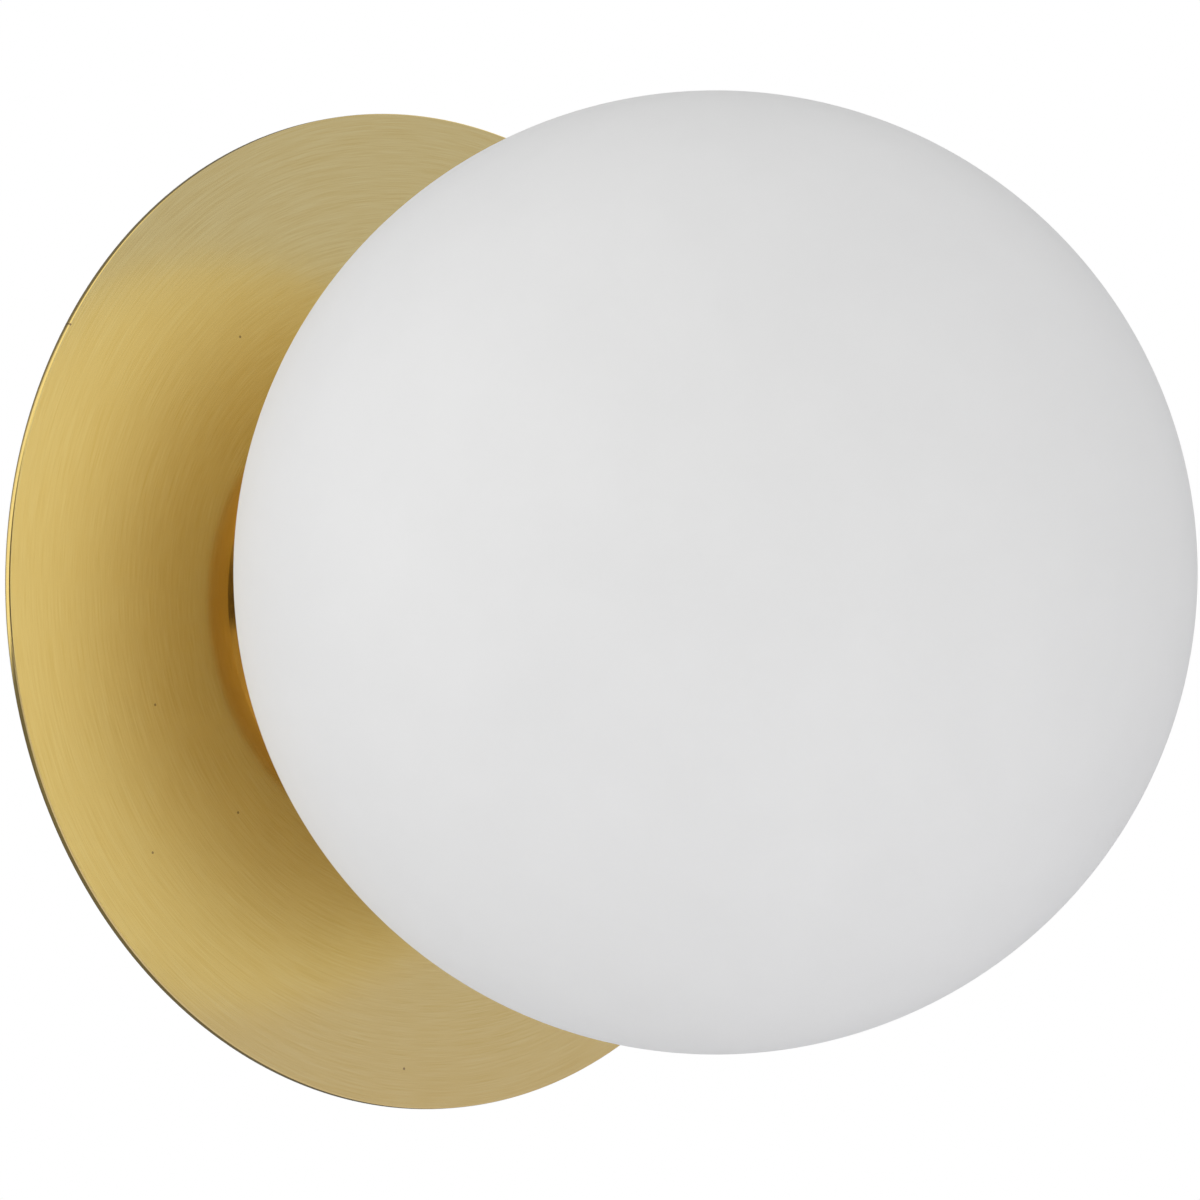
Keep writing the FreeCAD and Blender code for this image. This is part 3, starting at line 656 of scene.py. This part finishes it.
def make_globe():
    """The shell with its neck."""
    deselect_all()
    bpy.ops.mesh.primitive_uv_sphere_add(segments=2 * RINGS, ring_count=RINGS, radius=globe_radius,
                                         location=globe_centre, rotation=(math.pi / 2, 0, 0))
    piece = bpy.context.active_object
    piece.name = piece.data.name = "globe_glass"
    bpy.ops.object.transform_apply(location=True, rotation=True, scale=True)
    neck_start = globe_centre.y + math.sqrt(globe_radius ** 2 - NECK_RADIUS ** 2)
    edit(piece)
    bpy.ops.mesh.select_all(action="SELECT")
    bpy.ops.mesh.bisect(plane_co=(0, neck_start, 0), plane_no=(0, 1, 0), clear_outer=True,
                        threshold=1e-6)
    select_where(piece, lambda co: abs(co.y - neck_start) < NEAR, "EDGE")
    bpy.ops.mesh.extrude_region_move(
        TRANSFORM_OT_translate={"value": (0, globe_high.y - neck_start, 0)})
    select_where(piece, lambda co: abs(co.y - neck_start) < NEAR, "EDGE")
    bpy.ops.mesh.bevel(offset=SHOULDER_ROUND * SHOULDER_SHARE, segments=6, affect="EDGES")
    bpy.ops.mesh.select_all(action="SELECT")
    bpy.ops.mesh.normals_make_consistent(inside=False)
    leave_edit()
    shell = piece.modifiers.new("glass thickness", "SOLIDIFY")
    shell.thickness = GLASS_THICKNESS
    shell.offset = -1
    bpy.ops.object.modifier_apply(modifier=shell.name)
    edit(piece)
    select_where(piece, lambda co: abs(co.y - globe_high.y) < 1e-6, "EDGE")
    bpy.ops.mesh.bevel(offset=LIP_ROUND, segments=5, affect="EDGES")
    leave_edit()
    finish_shading(piece, 60)
    return piece


globe = make_globe()
dress(globe, "glass_globe", "globe", opal_glass)

# %% [markdown]
# ## The brass plate
#
# The plate is a disc of 1.2 mm sheet with a hole in the middle. Its section is a thin rectangle, whose
# front corner was broken with a file so that it doesn't cut.

# %% Model: brass plate
HOLE_RADIUS = 5.1 * MM
EDGE_BREAK = 0.3 * MM
ROUND_STEPS = 256


def make_plate():
    """The disc, spun from its section."""
    front, rear = -plate_low.y, -plate_high.y
    piece = draw_profile("brass_plate", [(HOLE_RADIUS, rear), (plate_radius, rear),
                                         (plate_radius, front), (HOLE_RADIUS, front)])
    round_corner(piece, plate_radius, front, EDGE_BREAK, 3)
    round_corner(piece, plate_radius, rear, EDGE_BREAK / 3, 2)
    spin_profile(piece, ROUND_STEPS)
    return piece


plate = make_plate()
dress(plate, "disc_plate", "root", brushed_brass)

# %% [markdown]
# ## The collar
#
# A short brass cup holds the globe's neck. It is turned from bar, so all its corners are crisp, with a
# small break at the rim.

# %% Model: collar
COLLAR_FLOOR = 1.2 * MM
COLLAR_BORE = 34.3 * MM
RIM_BREAK = 0.5 * MM


def make_collar():
    """The turned cup."""
    front, rear = -collar_low.y, -collar_high.y
    floor = rear + COLLAR_FLOOR
    piece = draw_profile("brass_collar", [(HOLE_RADIUS, rear), (collar_radius, rear),
                                          (collar_radius, front), (COLLAR_BORE, front),
                                          (COLLAR_BORE, floor), (HOLE_RADIUS, floor)])
    round_corner(piece, collar_radius, front, RIM_BREAK, 4)
    round_corner(piece, COLLAR_BORE, floor, 0.8 * MM, 5)
    spin_profile(piece, ROUND_STEPS)
    return piece


collar = make_collar()
dress(collar, "glass_collar", "root", shaded_turned_brass)

# %% [markdown]
# ## The gasket
#
# A silicone ring lies on the collar's rim and the globe's shoulder rests on it. Its corners are moulded
# round.

# %% Model: gasket
GASKET_INNER = 34.1 * MM
GASKET_ROUND = 0.35 * MM


def make_gasket():
    """The ring."""
    front, rear = -gasket_low.y, -gasket_high.y
    outer = gasket_high.z
    piece = draw_profile("silicone_gasket", [(GASKET_INNER, rear), (outer, rear), (outer, front),
                                             (GASKET_INNER, front)])
    for radius in (GASKET_INNER, outer):
        for depth in (rear, front):
            round_corner(piece, radius, depth, GASKET_ROUND, 4)
    spin_profile(piece, ROUND_STEPS)
    return piece


gasket = make_gasket()
dress(gasket, "globe_gasket", "gasket", gasket_silicone)

# %% [markdown]
# ## The cup behind the plate
#
# The cup is drawn from sheet as thick as the plate's and hides the wall box. It is spun from its section,
# with a soft outer corner, and then two cylinders cut the holes for the side screws.

# %% Model: cup
CUP_SHEET = 1.2 * MM
CUP_CORNER = 3.0 * MM
SIDE_HOLE_RADIUS = 2.1 * MM
SIDE_HOLE_DEPTH = 9.0 * MM


def make_cup():
    """The drawn cup, open to the wall."""
    front = -cup_low.y
    wall = cup_radius - CUP_SHEET
    piece = draw_profile("brass_cup", [(HOLE_RADIUS, front), (cup_radius, front), (cup_radius, 0.0),
                                       (wall, 0.0), (wall, front - CUP_SHEET),
                                       (HOLE_RADIUS, front - CUP_SHEET)])
    round_corner(piece, cup_radius, front, CUP_CORNER, 8)
    round_corner(piece, wall, front - CUP_SHEET, CUP_CORNER - CUP_SHEET, 6)
    round_corner(piece, cup_radius, 0.0, 0.25 * MM, 3)
    spin_profile(piece, ROUND_STEPS)
    for side in (-1, 1):
        deselect_all()
        bpy.ops.mesh.primitive_cylinder_add(
            vertices=48, radius=SIDE_HOLE_RADIUS, depth=4 * CUP_SHEET,
            location=(side * (cup_radius - CUP_SHEET / 2), -SIDE_HOLE_DEPTH, 0),
            rotation=(0, math.pi / 2, 0))
        cutter = bpy.context.active_object
        deselect_all()
        bpy.context.view_layer.objects.active = piece
        hole = piece.modifiers.new("side hole", "BOOLEAN")
        hole.operation = "DIFFERENCE"
        hole.solver = "EXACT"
        hole.object = cutter
        bpy.ops.object.modifier_apply(modifier=hole.name)
        bpy.data.objects.remove(cutter)
    finish_shading(piece)
    return piece


cup = make_cup()
dress(cup, "canopy_cup", "root", brushed_brass)

# %% [markdown]
# ## The lamp's cover
#
# The plug-in lamp has a frosted tube with a round end. Its section is half a circle on a straight line, so
# it starts as a profile whose outer corner is beveled by the whole radius.

# %% Model: lamp cover
cover_low, cover_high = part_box("lamp_envelope")
COVER_WALL = 0.8 * MM


def make_cover():
    """The frosted tube with its dome."""
    front, rear = -cover_low.y, -cover_high.y
    outer = cover_high.z
    inner = outer - COVER_WALL
    axis = 0.01 * MM
    piece = draw_profile("lamp_cover", [(inner, rear), (outer, rear), (outer, front), (axis, front),
                                        (axis, front - COVER_WALL), (inner, front - COVER_WALL)])
    round_corner(piece, outer, front, outer - 2 * axis, 16)
    round_corner(piece, inner, front - COVER_WALL, inner - 2 * axis, 14)
    spin_profile(piece, 96)
    return piece


cover = make_cover()
dress(cover, "lamp_envelope", "lamp", lamp_frosted)

# %% [markdown]
# ## The thread on the globe's neck
#
# The globe screws into the collar by a low, rounded thread blown into its neck. It is a small section
# carried round the axis by the Screw modifier, one and a half turns, and it turns with the globe.

# %% Model: neck thread
NECK_PITCH = 3.0 * MM
NECK_TURNS = 1.5
BEAD_HEIGHT = 0.2 * MM
BEAD_WIDTH = 1.2 * MM
BEAD_START = 26.6 * MM


def make_neck_thread():
    """The low bead round the neck, closed at both ends."""
    sunk = 0.3 * MM
    half = BEAD_WIDTH / 2
    piece = draw_profile("neck_thread", [(NECK_RADIUS - sunk, BEAD_START - half),
                                         (NECK_RADIUS, BEAD_START - half),
                                         (NECK_RADIUS + BEAD_HEIGHT, BEAD_START - half / 2),
                                         (NECK_RADIUS + BEAD_HEIGHT, BEAD_START + half / 2),
                                         (NECK_RADIUS, BEAD_START + half),
                                         (NECK_RADIUS - sunk, BEAD_START + half)])
    leave_edit()
    coil = piece.modifiers.new("thread", "SCREW")
    coil.axis = "Y"
    coil.angle = 2 * math.pi * NECK_TURNS
    coil.screw_offset = -NECK_PITCH * NECK_TURNS
    coil.steps = coil.render_steps = 240
    coil.use_merge_vertices = True
    bpy.ops.object.modifier_apply(modifier=coil.name)
    edit(piece)
    bpy.ops.mesh.select_all(action="DESELECT")
    bpy.ops.mesh.select_mode(type="EDGE")
    bpy.ops.mesh.select_non_manifold()
    bpy.ops.mesh.fill_holes(sides=0)
    bpy.ops.mesh.select_all(action="SELECT")
    bpy.ops.mesh.normals_make_consistent(inside=False)
    leave_edit()
    finish_shading(piece, 40)
    return piece


thread = make_neck_thread()
thread.data.materials.clear()
thread.data.materials.append(opal_glass)
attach(thread, "globe")

# %% [markdown]
# ## The floor and the light
#
# The photograph is a studio picture on pure white. The camera sees the white itself. What falls on the
# sconce is a soft white sky, nearly even, so that the globe has hardly any shade. Four parts of it are
# darker, and were set by what the brass mirrors in the photograph:
#
# - the right and front, which the top and the bottom of the plate mirror, is dimmer and a little cool;
# - the wall side, above and below, draws the dark line along the sheet's edge;
# - a band low on the left, level with the wall, keeps the gap between plate and globe dark;
# - the place that the picture is taken from is dark in mirrors, and so the collar's side is too.
#
# The first has a different tone in mirrors than for the light it gives. The floor's colour is painted
# where a glossy surface mirrors it: a painted cool reflection at the front and painted shade on the wall
# side.

# %% Floor
FLOOR_HEIGHT = -0.60
FLOOR_SIZE = 12
FLOOR_TONES = ((0.88, 0.88, 0.88), (0.90, 0.90, 0.90))
WALL_SHADE_START = (0.05, 0.30)
WALL_SIDE_SHADE = (0.16, 0.16, 0.16)
COOL_FLOOR_REFLECTION = (0.70, 0.70, 0.96)


def make_floor():
    """A pale floor, well below the sconce, that keeps its shadow."""
    deselect_all()
    bpy.ops.mesh.primitive_plane_add(size=FLOOR_SIZE, location=(0, 0, FLOOR_HEIGHT))
    floor = bpy.context.active_object
    floor.name = floor.data.name = "floor"
    material, tree, shader = new_material("floor_paint")
    grain = noise(tree, object_position(tree), 3.0, 2.0)
    paint = ramp(tree, grain, [(0.0, FLOOR_TONES[0]), (1.0, FLOOR_TONES[1])])
    x, y, z = object_axes(tree)
    path = tree.nodes.new("ShaderNodeLightPath")
    # Painted shade and a painted cool reflection: only glossy rays see the floor dark on the wall side and
    # cool elsewhere.
    painted_mirror_shade = blend_colours(tree, smooth_step(tree, y, *WALL_SHADE_START), COOL_FLOOR_REFLECTION, WALL_SIDE_SHADE)
    join(tree, blend_colours(tree, path.outputs["Is Glossy Ray"], paint, painted_mirror_shade),
         shader.inputs["Base Color"])
    shader.inputs["Roughness"].default_value = 0.9
    floor.data.materials.append(material)
    print(f"floor {FLOOR_SIZE} m wide at z = {FLOOR_HEIGHT} m")
    return floor


make_floor()

# %% [markdown]
# ## The world
#
# Each darker part is blended over the white by how far a ray points in its direction. The edges are pairs
# of numbers between which the blend goes smoothly from none to all. Rays from the camera, and rays that
# went through something, see plain white.

# %% World
WHITE = (1.0, 1.0, 1.0)
COOL_SIDE = (0.50, 0.54, 0.78)
PLAIN_SIDE = (0.60, 0.60, 0.60)
RIGHT_FRONT = (0.62, -0.78, 0.0)
SIDE_EDGE = (0.45, 0.95)

DIM_BAND = (0.04, 0.04, 0.04)
LOW_LEFT = (-0.80, 0.0, -0.60)
LOW_LEFT_EDGE = (0.45, 0.80)
BAND_EDGE = (0.42, 0.25)

WALL_EDGE = (0.15, 0.60)
WALL_LEFT_EDGE = (-0.50, -0.25)

DARK_ROOM = (0.05, 0.045, 0.04)
DARK_END = (-0.62, -0.777, -0.1)
DARK_EDGE = (0.78, 0.95)


def make_world():
    """White for the camera, and for all else a white room with its four darker parts."""
    world = bpy.data.worlds.new("studio")
    bpy.context.scene.world = world
    world.use_nodes = True
    tree = world.node_tree
    tree.nodes.clear()
    output = tree.nodes.new("ShaderNodeOutputWorld")
    sky = tree.nodes.new("ShaderNodeBackground")
    path = tree.nodes.new("ShaderNodeLightPath")
    glossy = path.outputs["Is Glossy Ray"]
    ray = tree.nodes.new("ShaderNodeTexCoord").outputs["Generated"]
    x, y, z = split_axes(tree, ray)

    level = maths(tree, "SQRT", maths(tree, "ADD", maths(tree, "MULTIPLY", x, x),
                                      maths(tree, "MULTIPLY", y, y)))
    towards = maths(tree, "DIVIDE", pointing(tree, ray, RIGHT_FRONT), maths(tree, "MAXIMUM", level, 0.01))
    side = blend_colours(tree, glossy, PLAIN_SIDE, COOL_SIDE)
    room = blend_colours(tree, smooth_step(tree, towards, *SIDE_EDGE), WHITE, side)

    band = smooth_step(tree, maths(tree, "ABSOLUTE", y), *BAND_EDGE)
    low_left = smooth_step(tree, pointing(tree, ray, LOW_LEFT), *LOW_LEFT_EDGE)
    room = blend_colours(tree, maths(tree, "MULTIPLY", band, low_left), room, DIM_BAND)

    wall = maths(tree, "MULTIPLY", smooth_step(tree, y, *WALL_EDGE), smooth_step(tree, x, *WALL_LEFT_EDGE))
    room = blend_colours(tree, wall, room, WALL_SIDE_SHADE)

    mirror = maths(tree, "MULTIPLY", glossy, maths(tree, "LESS_THAN", path.outputs["Diffuse Depth"], 0.5))
    dark = smooth_step(tree, pointing(tree, ray, DARK_END), *DARK_EDGE)
    room = blend_colours(tree, maths(tree, "MULTIPLY", dark, mirror), room, DARK_ROOM)

    seen = maths(tree, "MAXIMUM", path.outputs["Is Camera Ray"], path.outputs["Is Transmission Ray"])
    join(tree, blend_colours(tree, seen, room, WHITE), sky.inputs["Color"])
    join(tree, sky.outputs[0], output.inputs["Surface"])
    print("world", world.name, "with", len(tree.nodes), "nodes")


make_world()

# %% [markdown]
# ## The soft boxes
#
# Two large soft lamps on the left brighten the globe's left half and the plate, and a small one lifts the
# shade under the globe. Mirrors and the camera don't see them, because the photograph shows no lamp.

# %% Soft boxes
def soft_box(name, place, size, power):
    """An area light at the place that looks at the globe."""
    data = bpy.data.lights.new(name, "AREA")
    data.shape = "RECTANGLE"
    data.size, data.size_y = size
    data.energy = power
    box = bpy.data.objects.new(name, data)
    bpy.context.scene.collection.objects.link(box)
    box.location = place
    box.visible_glossy = False
    box.visible_camera = False
    box.rotation_euler = (globe_centre - Vector(place)).to_track_quat("-Z", "Y").to_euler()
    print(f"lamp {name}: {power} W, {size[0]} by {size[1]} m")
    return box


soft_box("key_left", (-0.8, -1.1, 0.0), (1.2, 1.6), 3.5)
soft_box("rear_left", (-1.2, 0.9, 0.0), (1.0, 1.4), 5.5)
soft_box("low_fill", (0.05, -0.6, -0.45), (1.2, 0.25), 0.8)

bpy.context.scene.view_settings.view_transform = "Standard"
